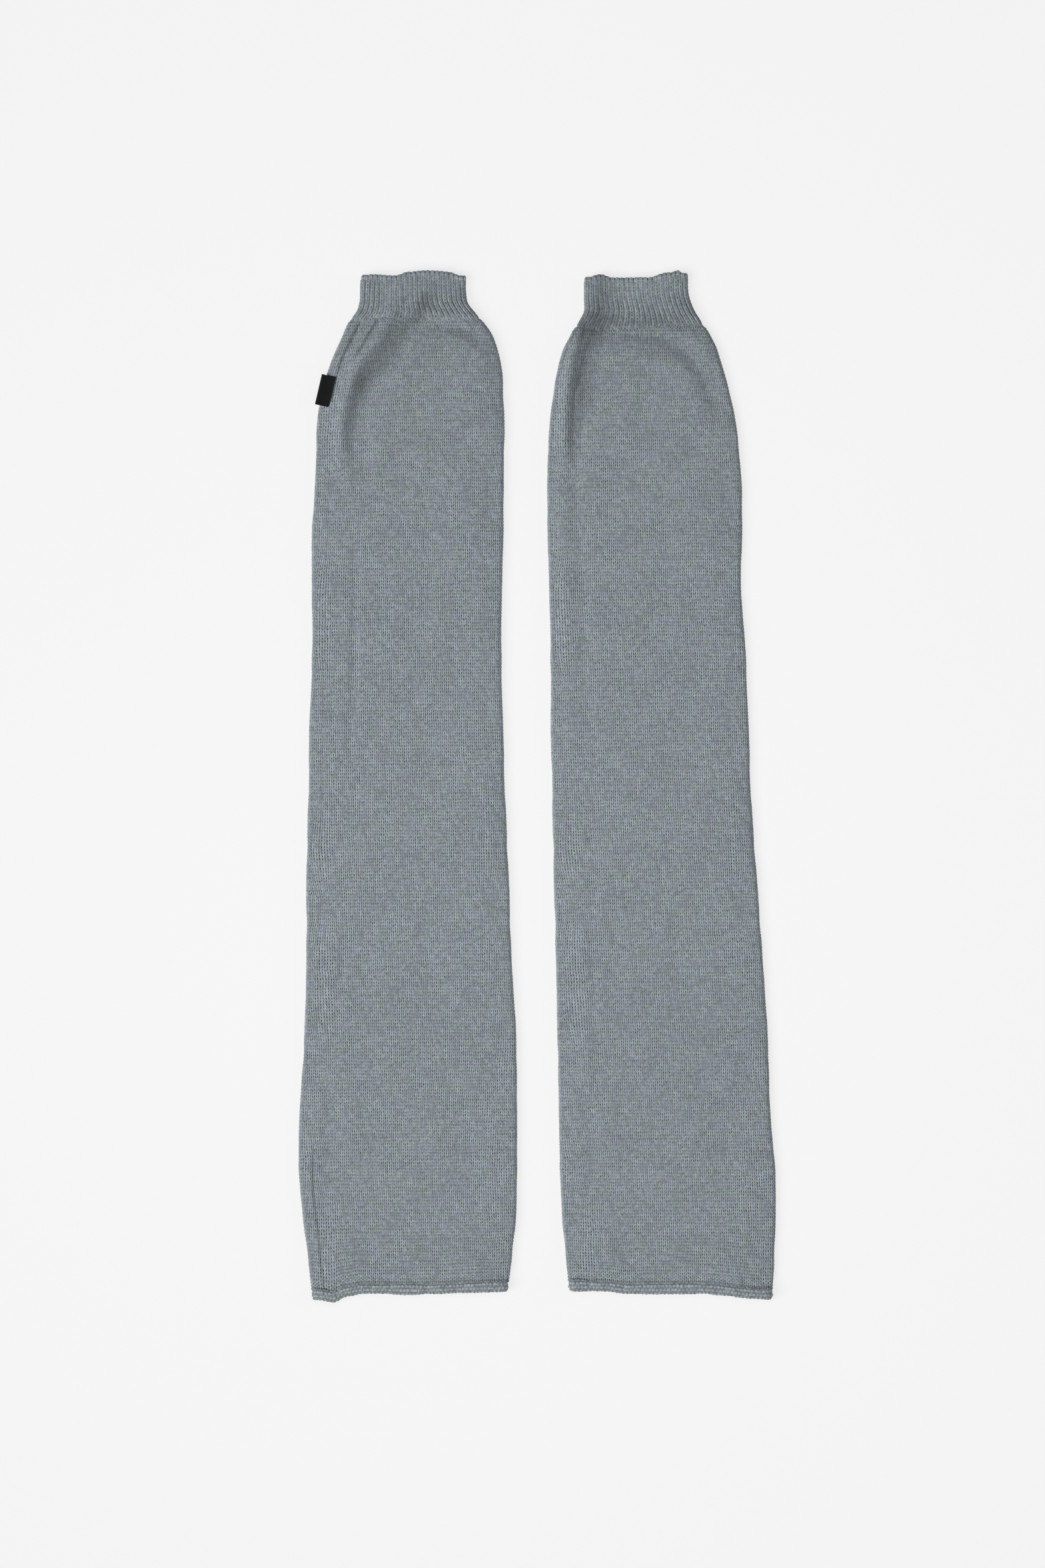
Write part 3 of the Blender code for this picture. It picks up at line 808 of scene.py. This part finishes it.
def rib_relief(beside, rows, strength):
    """Height of the ribs, each two columns of slanting strands with a line of holes between them."""
    ridge = np.cos(np.pi * beside) ** RIB_ROUNDNESS
    stitch = 0.5 * strand_crest(rows.strand, rows.near_rim) + 0.5 * np.sin(2 * np.pi * beside)
    return (ridge - RIB_MIDDLE_HEIGHT) * RIB_HEIGHT * strength - RIB_STITCH_DEPTH * (1 - stitch)


def ribbed_surface(warmer, tube, cloth, rows, columns):
    """The points of a cuff's surface, and the painted shade on each of them: in the grooves between the
    ribs, near their foot and in the creases.
    """
    emerged = smooth_step(cloth.above_foot / RIBS_EMERGE_OVER)
    grown = smooth_step(cloth.above_foot / RIBS_GROW_OVER)
    strength = rib_strength(warmer, cloth.centre[..., 0], cloth.centre[..., 1])
    strength = strength * (1 - RIM_FLATTENS_RIBS * rows.near_rim)
    strength = strength * (RIBS_AT_FOOT + (1 - RIBS_AT_FOOT) * grown)
    height = rib_relief(columns.beside, rows, strength) + rows.near_rim * columns.lump
    above_floor = np.clip(1 + RIB_FADE_TO_FLOOR * cloth.outward[..., 2], 0, 1)
    inside = smooth_step(rows.depth / CUFF_WALL * RIBS_END_STEEPNESS - RIBS_END_LATE)
    shown = columns.ribbed * above_floor * (1 - inside)
    reach = tube.radius - rows.depth + height * shown - CUFF_SUNK * (1 - emerged)
    reach = reach - (CUFF_WALL - LEG_WALL) * (1 - grown)
    # Painted shade in the grooves between the ribs
    from_groove = (0.5 - columns.beside) * COLUMNS_PER_RIB * RIB_GROOVE_SHARPNESS
    dark = np.clip(1 - from_groove, 0, 1) * strength * shown * emerged
    dark = np.maximum(dark, SHADE_BELOW_RIBS * (1 - smooth_step(cloth.above_foot / SHADE_BELOW_RIBS_REACH)))
    dark = np.maximum(dark, crease_shade(warmer, cloth.centre))
    return cloth.centre + cloth.outward * reach[..., None], dark


def rib_cuff(warmer, material):
    """A ribbed cuff: its outside, its bumpy rim and the first stretch of its inside."""
    foot, top = warmer.leg[-SECTIONS_UNDER_CUFF].y, warmer.cuff[-1].y - CUFF_WALL / 2
    tube = FlatTube(warmer.leg[-SECTIONS_UNDER_CUFF:-1] + warmer.cuff, warmer.folds,
                    End(warmer.cuff[-1].y, warmer.rim_line, RIM_REACH), CUFF_WALL)
    courses = round((top - foot) / CUFF_COURSE)
    rows = cuff_rows(foot, top, courses)
    rib = np.arange(RIBS_ROUND * COLUMNS_PER_RIB + 1) / COLUMNS_PER_RIB - RIBS_ROUND / 2
    beside = np.abs(rib - np.floor(rib) - 0.5)
    lump = RIM_LUMP * np.cos(2 * np.pi * rib) + line_noise(RIM_WANDER, rib * RIM_LUMP_SPACING)
    y = rows.y - RIB_SLOPE * (beside - STRAND_MIDDLE) * rows.slant * (top - foot) / courses
    y = y + rows.near_rim * np.maximum(1 - rows.depth / CUFF_WALL, 0) * lump
    around, y, perimeter = cuff_ways(tube, rib, y, rows.near_rim)
    cloth = laid_cloth(warmer, tube, around, y)
    plain = np.zeros(len(BACK_SHARES))
    columns = CuffColumns(*(np.append(values, plain) for values in (beside, lump, np.ones_like(rib))))
    points, dark = ribbed_surface(warmer, tube, cloth, rows, columns)
    unrolled = unroll(around, perimeter)
    row_share = np.linspace(0, 1, len(rows.y))[:, None]
    behind = rib[-1] * (1 + np.arange(1, len(BACK_SHARES) + 2) / 2)
    maps = {"OFBake": bake_map((unrolled - unrolled[:, :1]) / perimeter, row_share),
            "Stitch": together(np.append(rib, behind) - 0.5, rows.strand)}
    piece = stitched_piece(f"{warmer.side}_ribbing", points, maps, material,
                           len(rib) - 1, COLUMNS_PER_RIB, dark)
    length = top - foot + np.pi * CUFF_WALL / 2 + LINING_LENGTH
    return piece, float(tube.perimeter((foot + top) / 2)), float(length)


def bump_relief(bump, row):
    """Height of the purl bumps, round and staggered from row to row, from 0 to 1."""
    number = np.round(row)
    shifted = bump + 0.5 * (number % 2)
    nearest = np.round(shifted)
    number_each = np.broadcast_to(number, shifted.shape)
    shift, stretch, height = (strand_jitter(seed, nearest / 2, number_each) for seed in
                              (BUMP_SIDEWAYS_SEED, BUMP_LENGTHWISE_SEED, BUMP_HEIGHT_SEED))
    sideways = (shifted - nearest) / 0.5 + BUMP_SHIFT * shift
    lengthwise = (row - number) / 0.5 + BUMP_SHIFT * stretch
    round_top = 1 - BUMP_STEEPNESS * sideways ** 2 - BUMP_STEEPNESS * lengthwise ** 2
    uneven = 1 - BUMP_HEIGHT_VARIES + BUMP_HEIGHT_VARIES * height
    return np.sqrt(np.clip(round_top, 0, 1)) * uneven


def rolled_hem(warmer, material):
    """The plain edge that curls outwards into a roll, with rows of small round purl bumps."""
    foot = warmer.leg[0]
    flat = tuple(foot._replace(y=foot.y + step, crown=0) for step in (0, 1))
    tube = FlatTube(flat, (), End(foot.y, warmer.hem_line, HEM_REACH), ROLL_THICKNESS)
    perimeter = float(tube.perimeter(foot.y))
    bumps = int(round(perimeter / BUMP_WIDTH / 2)) * 2
    columns, rows = bumps * COLUMNS_PER_BUMP, BUMP_ROWS * ROWS_PER_BUMP
    bump = np.arange(columns) / COLUMNS_PER_BUMP
    bump_row = (np.arange(rows) / ROWS_PER_BUMP)[:, None]
    around = (bump / bumps * perimeter)[None, :]
    centre, outward = tube.place(around, np.full_like(around, foot.y))
    core = centre + outward * (tube.radius - ROLL_THICKNESS / 2)
    turn = np.radians(FIRST_BUMP_AT + bump_row * 360 / BUMP_ROWS)
    relief = bump_relief(bump, bump_row)
    seen = np.clip(BUMPS_UNDER_ROLL + np.sin(turn), 0, 1)
    height = (relief - BUMP_MIDDLE_HEIGHT) * BUMP_HEIGHT * seen
    height = height + line_noise(ROLL_WANDER, core[..., 0])
    thick = (ROLL_THICKNESS / 2 + height) * np.sin(turn)
    wide = (ROLL_WIDTH / 2 + height) * np.cos(turn)
    points = core + outward * thick[..., None] + np.array((0, 1, 0)) * wide[..., None]
    points[..., 2] = np.maximum(points[..., 2], 0)
    turn_share = np.arange(columns + 1) / columns
    row_share = (np.arange(rows + 1) / rows)[:, None]
    stitch = together(turn_share * bumps, row_share * BUMP_ROWS)
    maps = {"OFBake": bake_map(turn_share, row_share)[::-1], "Stitch": stitch[::-1]}
    piece = grid_piece(f"{warmer.side}_rolled_edge", points[::-1], maps, material,
                       wrap_rows=True)
    # Painted shade between the purl bumps, deepest where the bumps are lowest
    mark_painted_shade(piece.data, (1 - relief)[::-1])
    return piece


def tape_profile():
    """The tape's section: how far each column is to the side, its height, and the way round it."""
    half_thick = TAB_THICKNESS / 2
    half_flat = TAB_WIDTH / 2 - half_thick
    perimeter = 4 * half_flat + 2 * np.pi * half_thick
    around = (np.arange(TAB_COLUMNS) / TAB_COLUMNS - 0.5) * perimeter
    side, reach = np.sign(around), np.abs(around)
    turn = np.clip((reach - half_flat) / half_thick, 0, np.pi)
    inwards = np.maximum(reach - half_flat - np.pi * half_thick, 0)
    wide = side * (np.minimum(reach, half_flat) - inwards + half_thick * np.sin(turn))
    return wide, half_thick * (1 + np.cos(turn)), perimeter


def woven_tab(material):
    """A woven tape folded double along its free left edge. Its right edge is tucked under the cloth."""
    wide, thick, perimeter = tape_profile()
    length_share = np.linspace(0, 1, TAB_ROWS + 1)[:, None]
    long = (length_share - 0.5) * TAB_LENGTH
    tilt = np.radians(TAB_TILT)
    x = TAB_CENTRE[0] + wide * np.cos(tilt) + long * np.sin(tilt)
    y = TAB_CENTRE[1] - wide * np.sin(tilt) + long * np.cos(tilt)
    tube = FlatTube(LEFT_LEG, LEFT_FOLDS, End(LEFT_LEG[0].y, LEFT_HEM_LINE, HEM_REACH), LEG_WALL)
    near_foot = smooth_step((FOOT_SHARE - length_share) / FOOT_SHARE)
    tucked_from = TUCK_STARTS_AT - FOOT_TUCKED_MORE * near_foot
    tuck = TAB_TUCK * smooth_step((wide / TAB_WIDTH + 0.5 - tucked_from) / TUCK_EASED_OVER)
    points = together(x, y, tube.front_height(x, y) + TAB_LIFT + thick - tuck)
    turn_share = np.arange(TAB_COLUMNS + 1) / TAB_COLUMNS
    maps = {"OFBake": bake_map(turn_share, length_share),
            "Weave": together(turn_share * perimeter - perimeter / 2, long)}
    return grid_piece("left_tape", points, maps, material)


class Nodes:
    """A material's node tree, built with one call for each node."""

    def __init__(self, name):
        self.material = bpy.data.materials.new(name)
        self.material.use_nodes = True
        self.tree = self.material.node_tree
        self.shader = self.tree.nodes["Principled BSDF"]

    def put(self, socket, value):
        if isinstance(value, bpy.types.NodeSocket):
            self.tree.links.new(value, socket)
        else:
            socket.default_value = value

    def fill(self, made, inputs):
        """Sets a node's inputs by name, with _ for a space."""
        for name, value in inputs.items():
            self.put(made.inputs[name.replace("_", " ")], value)

    def node(self, kind, settings=None, **inputs):
        made = self.tree.nodes.new("ShaderNode" + kind)
        for name, value in (settings or {}).items():
            setattr(made, name, value)
        self.fill(made, inputs)
        return made

    def math(self, operation, *values):
        made = self.node("Math", {"operation": operation})
        for socket, value in zip(made.inputs, values):
            self.put(socket, value)
        return made.outputs[0]

    def product(self, first, *others):
        """All the values multiplied together."""
        for other in others:
            first = self.math("MULTIPLY", first, other)
        return first

    def mix(self, share, first, second):
        made = self.node("Mix", {"data_type": "RGBA"})
        for number, value in ((0, share), (6, first), (7, second)):
            self.put(made.inputs[number], value)
        return made.outputs[2]

    def ramp(self, value, *bounds):
        """A smooth change from one value to another while the input goes from low to high."""
        made = self.node("MapRange", {"interpolation_type": "SMOOTHSTEP"}, Value=value)
        for socket, bound in zip(made.inputs[1:], bounds):
            socket.default_value = bound
        return made.outputs[0]

    def noise(self, vector, scale, detail=2):
        return self.node("TexNoise", Vector=vector, Scale=scale, Detail=detail).outputs[0]

    def random(self, first, second):
        """A random value for each pair of whole numbers."""
        pair = self.node("CombineXYZ", X=first, Y=second).outputs[0]
        return self.node("TexWhiteNoise", {"noise_dimensions": "2D"}, Vector=pair).outputs["Value"]

    def map_place(self, map_name):
        """The two coordinates of a point in one of the mesh's maps."""
        place = self.node("UVMap", {"uv_map": map_name}).outputs[0]
        return self.node("SeparateXYZ", Vector=place).outputs[:2]

    def mark(self, name):
        """A value that the mesh itself carries."""
        return self.node("Attribute", {"attribute_name": name}).outputs["Fac"]

    def finish(self, colour, roughness, height, relief, sheen, specular):
        bump = self.node("Bump", Height=height, Distance=relief, Strength=RELIEF_STRENGTH)
        self.fill(self.shader, {
            "Base Color": colour, "Roughness": roughness, "Normal": bump.outputs[0], "Sheen Weight": sheen,
            "Sheen Roughness": SHEEN_ROUGHNESS, "Specular IOR Level": specular})
        return self.material


def stitch_random(nodes, yarn, rounding):
    """A random value for each half wale and strand, both rounded in the same way."""
    return nodes.random(nodes.math(rounding, nodes.math("MULTIPLY", yarn.wale, 2)),
                        nodes.math(rounding, yarn.strand))


def yarn_places(nodes, holes_at_wale):
    """Where each point is in its stitch. Underneath, the strands' slope is drawn and not modelled."""
    wale, row = nodes.map_place("Stitch")
    beside = nodes.math("PINGPONG", wale, 0.5)
    lowered = nodes.math("SUBTRACT", beside, STRAND_MIDDLE)
    strand = nodes.math("ADD", row, nodes.product(lowered, STRAND_SLOPE, nodes.mark("underside")))
    from_line = nodes.math("PINGPONG", wale, 0.25) if holes_at_wale else beside
    return Yarn(wale, strand, from_line, nodes.math("PINGPONG", strand, 0.5))


def yarn_hole_shade(nodes, yarn, patch):
    """How much painted shade the hole between the strands puts on each point, different from hole to hole.
    """
    return nodes.product(nodes.ramp(yarn.from_line, *HOLE_BESIDE_LINE),
                         nodes.ramp(yarn.from_valley, *HOLE_IN_VALLEY),
                         nodes.ramp(stitch_random(nodes, yarn, "ROUND"), *HOLES_VARY),
                         nodes.ramp(patch, *HOLES_IN_PATCHES))


def knit_material(wool):
    """Heathered wool: steep strands drawn where the stitches are, with painted shade in the holes and
    hollows between them.
    """
    nodes = Nodes(wool.name)
    yarn = yarn_places(nodes, wool.holes_at_wale)
    position = nodes.node("TexCoord").outputs["Object"]
    patch = nodes.noise(position, PATCH_SCALE, FINE_DETAIL)
    fleck = nodes.noise(position, FLECK_SCALE, FINE_DETAIL)
    along_yarn = nodes.node("Mapping", Vector=position, Scale=HEATHER_STRETCH).outputs[0]
    heather = nodes.noise(along_yarn, HEATHER_SCALE, FINE_DETAIL)
    strand_tone = stitch_random(nodes, yarn, "FLOOR")
    tint = nodes.mix(nodes.ramp(patch, *GREEN_PATCHES), COOL_GREY, GREEN_GREY)
    violet = nodes.noise(position, VIOLET_SCALE)
    tint = nodes.mix(nodes.ramp(violet, *VIOLET_PATCHES), tint, VIOLET_GREY)
    # The holes between the strands are painted dark as shade
    hole = nodes.math("MULTIPLY", yarn_hole_shade(nodes, yarn, patch), wool.hole_depth)
    tone = nodes.product(nodes.ramp(strand_tone, *STRAND_TONES), nodes.ramp(fleck, *FLECK_TONES),
                         nodes.ramp(yarn.from_valley, *VALLEY_SHADE_AND_HIGHLIGHT),
                         nodes.ramp(yarn.from_line, 0, LINE_SHADE_REACH, wool.line_tone, TONE_PAST_LINE),
                         nodes.ramp(heather, *HEATHER_TONES), wool.brightness,
                         nodes.math("SUBTRACT", 1, hole),
                         nodes.ramp(nodes.mark("painted_shade"), *PAINTED_SHADE_TONES))
    toned = nodes.node("VectorMath", {"operation": "SCALE"}, Vector=tint, Scale=tone).outputs[0]
    roughness = nodes.ramp(fleck, *WOOL_ROUGHNESS)
    return nodes.finish(toned, roughness, fleck, WOOL_FUZZ, WOOL_SHEEN, WOOL_SPECULAR)


def tape_material():
    """Black woven tape: fine crossing threads, and a denser selvedge along both long edges."""
    nodes = Nodes("black_tape")
    wide, long = nodes.map_place("Weave")
    crossing = nodes.product(*(nodes.math("SINE", nodes.math("MULTIPLY", way, 2 * np.pi / THREAD_PITCH))
                               for way in (wide, long)))
    inner_edge = TAB_WIDTH / 2 - SELVEDGE
    edge = nodes.ramp(nodes.math("ABSOLUTE", wide), inner_edge - SELVEDGE_EASED_OVER, inner_edge, 0, 1)
    lint = nodes.noise(nodes.node("TexCoord").outputs["Object"], LINT_SCALE, FINE_DETAIL)
    colour = nodes.mix(nodes.ramp(crossing, *THREAD_TONES), LOW_THREAD, HIGH_THREAD)
    colour = nodes.mix(edge, colour, SELVEDGE_COLOUR)
    colour = nodes.mix(nodes.ramp(lint, *LINT_PATCHES), colour, LINT_COLOUR)
    roughness = nodes.ramp(crossing, *TAPE_ROUGHNESS)
    return nodes.finish(colour, roughness, crossing, TAPE_RELIEF, TAPE_SHEEN, TAPE_SPECULAR)


def declare(pieces, nodes):
    for piece in pieces:
        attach(piece, "root")
        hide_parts(*nodes)


def dress(warmer, knit, rib, rolled):
    """All the knitted pieces of one leg warmer, attached to the root body in place of the part's own
    pieces.
    """
    leg = knit_leg(warmer, knit)
    cuff, cuff_width, cuff_length = rib_cuff(warmer, rib)
    hem = rolled_hem(warmer, rolled)
    declare([piece for piece, width, length in leg], [f"{warmer.side}_leg"])
    declare([cuff], [f"{warmer.side}_cuff"])
    declare([hem], [f"{warmer.side}_hem"])


def place_camera():
    camera = add_object("camera", bpy.data.cameras.new("camera"))
    camera.data.lens = LENS
    camera.data.sensor_width = SENSOR
    camera.data.clip_end = FARTHEST_SEEN
    distance = VIEW_HEIGHT * MILLIMETRE * LENS / SENSOR
    camera.location = (VIEW_CENTRE[0] * MILLIMETRE, VIEW_CENTRE[1] * MILLIMETRE, distance)
    bpy.context.scene.camera = camera


def place_floor():
    """A pale floor that glows a little, so that the shadows on it stay faint."""
    nodes = Nodes("floor")
    nodes.fill(nodes.shader, {"Base Color": FLOOR_COLOUR, "Roughness": FLOOR_ROUGHNESS,
                              "Emission Color": WHITE, "Emission Strength": FLOOR_GLOW})
    mesh = bpy.data.meshes.new("floor")
    half = FLOOR_SIZE / 2
    mesh.from_pydata([(-half, -half, 0.0), (half, -half, 0.0), (half, half, 0.0), (-half, half, 0.0)],
                     [], [(0, 1, 2, 3)])
    mesh.materials.append(nodes.material)
    floor = add_object("floor", mesh)
    floor.location.z = -FLOOR_LOWERED


def place_light(name, kind, energy):
    made = add_object(name, bpy.data.lights.new(name, kind))
    made.data.energy = energy
    made.visible_camera = False
    return made


def place_lights():
    """Very soft light from the left and less from the right, a box of light overhead, and a white sky."""
    for name, side, power in (("key", KEY_FROM, KEY_POWER), ("fill", FILL_FROM, FILL_POWER)):
        sun = place_light(name, "SUN", power)
        sun.data.angle = np.radians(SUN_SPREAD)
        sun.rotation_euler = (-Vector(side)).to_track_quat("-Z", "Y").to_euler()
    softbox = place_light("softbox", "AREA", SOFTBOX_POWER)
    softbox.data.size = SOFTBOX_SIZE * MILLIMETRE
    softbox.location = Vector(SOFTBOX_AT) * MILLIMETRE
    world = bpy.data.worlds.new("sky")
    world.use_nodes = True
    background = world.node_tree.nodes["Background"]
    background.inputs["Color"].default_value = WHITE
    background.inputs["Strength"].default_value = SKY_STRENGTH
    bpy.context.scene.world = world
    bpy.context.scene.view_settings.view_transform = "Standard"


def main():
    place_camera()
    place_floor()
    place_lights()
    knit, rib, rolled = (knit_material(wool) for wool in (PLAIN_WOOL, RIBBED_WOOL, ROLLED_WOOL))
    for warmer in WARMERS:
        dress(warmer, knit, rib, rolled)
    declare([woven_tab(tape_material())], ["left_label"])


main()
